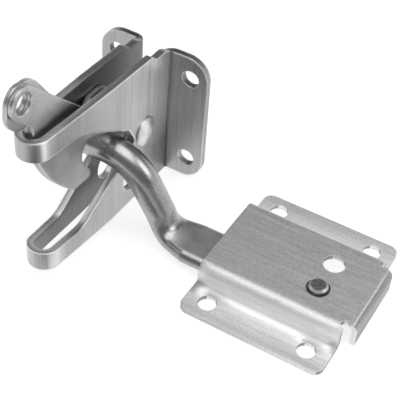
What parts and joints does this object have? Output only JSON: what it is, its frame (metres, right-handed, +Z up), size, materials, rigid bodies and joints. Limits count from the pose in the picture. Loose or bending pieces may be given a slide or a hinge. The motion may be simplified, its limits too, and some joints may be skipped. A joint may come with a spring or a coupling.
{
  "type": "gate latch",
  "caption": "Gravity gate latch: folded body with open throat and lifting pawl, and an S-bent round strike bar pinned under a hat-shaped strike plate.",
  "frame": {"origin": "middle of the four screw holes of the latch body, on the post face", "axes": "+X along the strike bar towards the gate, -Y out of the throat (+Y into the post), +Z up"},
  "size_m": [0.1475, 0.1038, 0.0978],
  "materials": {
    "body_steel": "brushed stainless sheet, sheared edges left bright",
    "pawl_steel": "tumbled stainless stampings",
    "rivet_steel": "bright rivet head",
    "bar_steel": "smooth drawn bar with light pits",
    "pin_steel": "dull turned end with a bright chamfer",
    "plate_steel": "brushed along the bar"
  },
  "bodies": {
    "latch": {"latch_body": "body_steel", "pivot_rivet": "rivet_steel", "strike_bar": "bar_steel", "strike_pin": "pin_steel"},
    "pawl": {"pawl_plate_near": "pawl_steel", "pawl_plate_far": "pawl_steel"},
    "strike": {"strike_plate": "plate_steel"}
  },
  "joints": [
    {"name": "pawl_lift", "type": "hinge", "parent": "latch", "child": "pawl", "pos_m": [0, -0.0213, 0.0018], "axis": [-1, 0, 0], "range_deg": [0, 50]},
    {"name": "plate_swivel", "type": "hinge", "parent": "latch", "child": "strike", "pos_m": [0.10015, -0.0402, -0.02104], "axis": [0, 0, 1], "range_deg": [-0.9, 15.5]}
  ]
}
